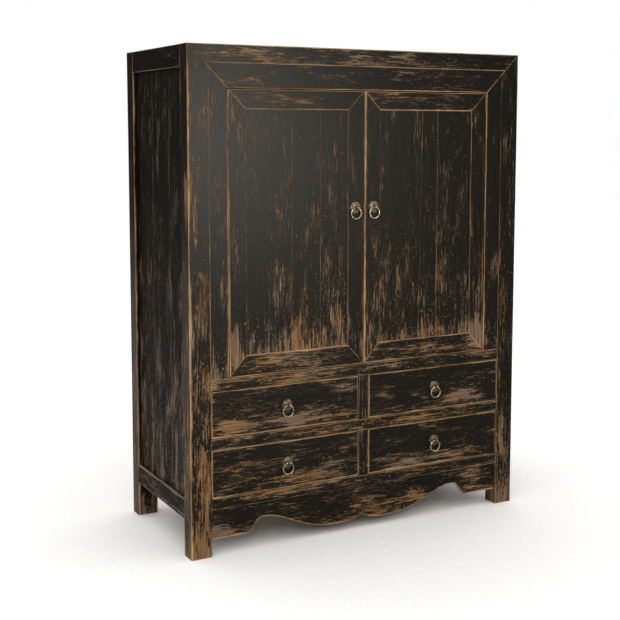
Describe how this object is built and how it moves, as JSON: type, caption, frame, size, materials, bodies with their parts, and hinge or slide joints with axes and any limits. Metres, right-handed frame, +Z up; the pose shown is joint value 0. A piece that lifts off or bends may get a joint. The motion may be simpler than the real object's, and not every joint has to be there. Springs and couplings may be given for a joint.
{
  "type": "armoire",
  "caption": "Tall cupboard with paired framed doors above rows of drawers, a mitred post-and-rail front, a scalloped apron, square legs and round ring pulls.",
  "frame": {"origin": "on the floor, below the middle of the box round the whole piece with its pulls", "axes": "+X to the right as one faces the doors, +Y from the front to the back, +Z up"},
  "size_m": [1.36, 0.6034, 1.75],
  "materials": {
    "worn_black_lacquer": "thin black lacquer over elm, rubbed through to brown wood at the edges and in patches",
    "dark_lacquer": "dull dark lacquer over elm, scratched and dusty",
    "bare_elm": "unfinished elm, darkened with age",
    "aged_brass": "dull aged brass, polished where fingers touch it"
  },
  "bodies": {
    "carcase": {"post_front_left": "worn_black_lacquer", "post_front_right": "worn_black_lacquer", "post_rear_left": "dark_lacquer", "post_rear_right": "dark_lacquer", "top_rail_front": "worn_black_lacquer", "side_top_rails": "dark_lacquer", "rear_rails": "dark_lacquer", "top_panel": "dark_lacquer", "inner_stile_left": "worn_black_lacquer", "inner_stile_right": "worn_black_lacquer", "head_rail": "worn_black_lacquer", "mid_rail": "worn_black_lacquer", "drawer_rail": "worn_black_lacquer", "bottom_rail": "worn_black_lacquer", "muntin": "worn_black_lacquer", "apron": "worn_black_lacquer", "side_panel_left": "dark_lacquer", "side_panel_right": "dark_lacquer", "side_bottom_rails": "dark_lacquer", "back_panels": "dark_lacquer", "cupboard_floor": "bare_elm", "shelf": "bare_elm", "bearers": "bare_elm", "drawer_runners": "bare_elm"},
    "door_left": {"door_left_hinge_stile": "worn_black_lacquer", "door_left_meeting_stile": "worn_black_lacquer", "door_left_top_rail": "worn_black_lacquer", "door_left_bottom_rail": "worn_black_lacquer", "door_left_panel": "worn_black_lacquer", "door_left_battens": "bare_elm", "door_left_pull": "aged_brass"},
    "door_left_ring": {"door_left_ring": "aged_brass"},
    "door_right": {"door_right_hinge_stile": "worn_black_lacquer", "door_right_meeting_stile": "worn_black_lacquer", "door_right_top_rail": "worn_black_lacquer", "door_right_bottom_rail": "worn_black_lacquer", "door_right_panel": "worn_black_lacquer", "door_right_battens": "bare_elm", "door_right_pull": "aged_brass"},
    "door_right_ring": {"door_right_ring": "aged_brass"},
    "drawer_upper_left": {"drawer_upper_left_front": "worn_black_lacquer", "drawer_upper_left_box": "bare_elm", "drawer_upper_left_bottom": "bare_elm", "drawer_upper_left_pull": "aged_brass"},
    "drawer_upper_left_ring": {"drawer_upper_left_ring": "aged_brass"},
    "drawer_upper_right": {"drawer_upper_right_front": "worn_black_lacquer", "drawer_upper_right_box": "bare_elm", "drawer_upper_right_bottom": "bare_elm", "drawer_upper_right_pull": "aged_brass"},
    "drawer_upper_right_ring": {"drawer_upper_right_ring": "aged_brass"},
    "drawer_lower_left": {"drawer_lower_left_front": "worn_black_lacquer", "drawer_lower_left_box": "bare_elm", "drawer_lower_left_bottom": "bare_elm", "drawer_lower_left_pull": "aged_brass"},
    "drawer_lower_left_ring": {"drawer_lower_left_ring": "aged_brass"},
    "drawer_lower_right": {"drawer_lower_right_front": "worn_black_lacquer", "drawer_lower_right_box": "bare_elm", "drawer_lower_right_bottom": "bare_elm", "drawer_lower_right_pull": "aged_brass"},
    "drawer_lower_right_ring": {"drawer_lower_right_ring": "aged_brass"}
  },
  "joints": [
    {"name": "door_left_hinge", "type": "hinge", "parent": "carcase", "child": "door_left", "pos_m": [-0.524, -0.2773, 1.1], "axis": [0, 0, -1], "range_deg": [0, 100]},
    {"name": "door_left_ring_swing", "type": "hinge", "parent": "door_left", "child": "door_left_ring", "pos_m": [-0.038, -0.2945, 1.19], "axis": [-1, 0, 0], "range_deg": [-7, 170]},
    {"name": "door_right_hinge", "type": "hinge", "parent": "carcase", "child": "door_right", "pos_m": [0.524, -0.2773, 1.1], "axis": [0, 0, 1], "range_deg": [0, 100]},
    {"name": "door_right_ring_swing", "type": "hinge", "parent": "door_right", "child": "door_right_ring", "pos_m": [0.038, -0.2945, 1.19], "axis": [-1, 0, 0], "range_deg": [-7, 170]},
    {"name": "drawer_upper_left_slide", "type": "slide", "parent": "carcase", "child": "drawer_upper_left", "axis": [0, -1, 0], "range_m": [0, 0.4]},
    {"name": "drawer_upper_left_ring_swing", "type": "hinge", "parent": "drawer_upper_left", "child": "drawer_upper_left_ring", "pos_m": [-0.312, -0.2955, 0.5015], "axis": [-1, 0, 0], "range_deg": [-7, 170]},
    {"name": "drawer_upper_right_slide", "type": "slide", "parent": "carcase", "child": "drawer_upper_right", "axis": [0, -1, 0], "range_m": [0, 0.4]},
    {"name": "drawer_upper_right_ring_swing", "type": "hinge", "parent": "drawer_upper_right", "child": "drawer_upper_right_ring", "pos_m": [0.312, -0.2955, 0.5015], "axis": [-1, 0, 0], "range_deg": [-7, 170]},
    {"name": "drawer_lower_left_slide", "type": "slide", "parent": "carcase", "child": "drawer_lower_left", "axis": [0, -1, 0], "range_m": [0, 0.4]},
    {"name": "drawer_lower_left_ring_swing", "type": "hinge", "parent": "drawer_lower_left", "child": "drawer_lower_left_ring", "pos_m": [-0.312, -0.2955, 0.2945], "axis": [-1, 0, 0], "range_deg": [-7, 170]},
    {"name": "drawer_lower_right_slide", "type": "slide", "parent": "carcase", "child": "drawer_lower_right", "axis": [0, -1, 0], "range_m": [0, 0.4]},
    {"name": "drawer_lower_right_ring_swing", "type": "hinge", "parent": "drawer_lower_right", "child": "drawer_lower_right_ring", "pos_m": [0.312, -0.2955, 0.2945], "axis": [-1, 0, 0], "range_deg": [-7, 170]}
  ]
}
